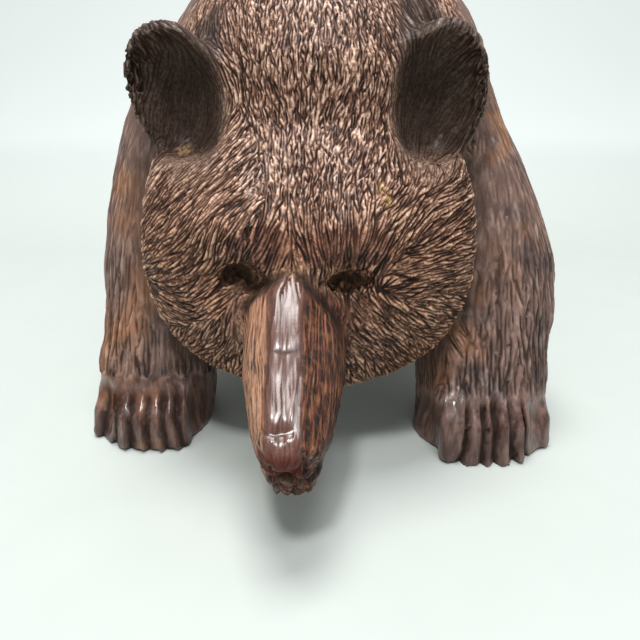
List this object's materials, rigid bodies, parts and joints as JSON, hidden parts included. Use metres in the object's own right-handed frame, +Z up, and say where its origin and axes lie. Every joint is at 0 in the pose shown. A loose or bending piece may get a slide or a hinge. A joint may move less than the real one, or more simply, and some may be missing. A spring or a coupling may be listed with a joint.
{
  "type": "carved wooden bear figure",
  "caption": "Tabletop wood carving of a bear on all fours with its head lowered, hand chiselled fur and knife-cut muzzle and paws.",
  "frame": {"origin": "on the ground under the middle of the bear's bounding box", "axes": "+Z up, -Y the way the bear faces, +X the bear's own left"},
  "size_m": [0.1774, 0.3414, 0.173],
  "materials": {
    "stained_wood": "dark stained and waxed hardwood, cut all over with a fine gouge, smooth on the muzzle and toes"
  },
  "bodies": {
    "root": {"carved_bear": "stained_wood"}
  },
  "joints": []
}
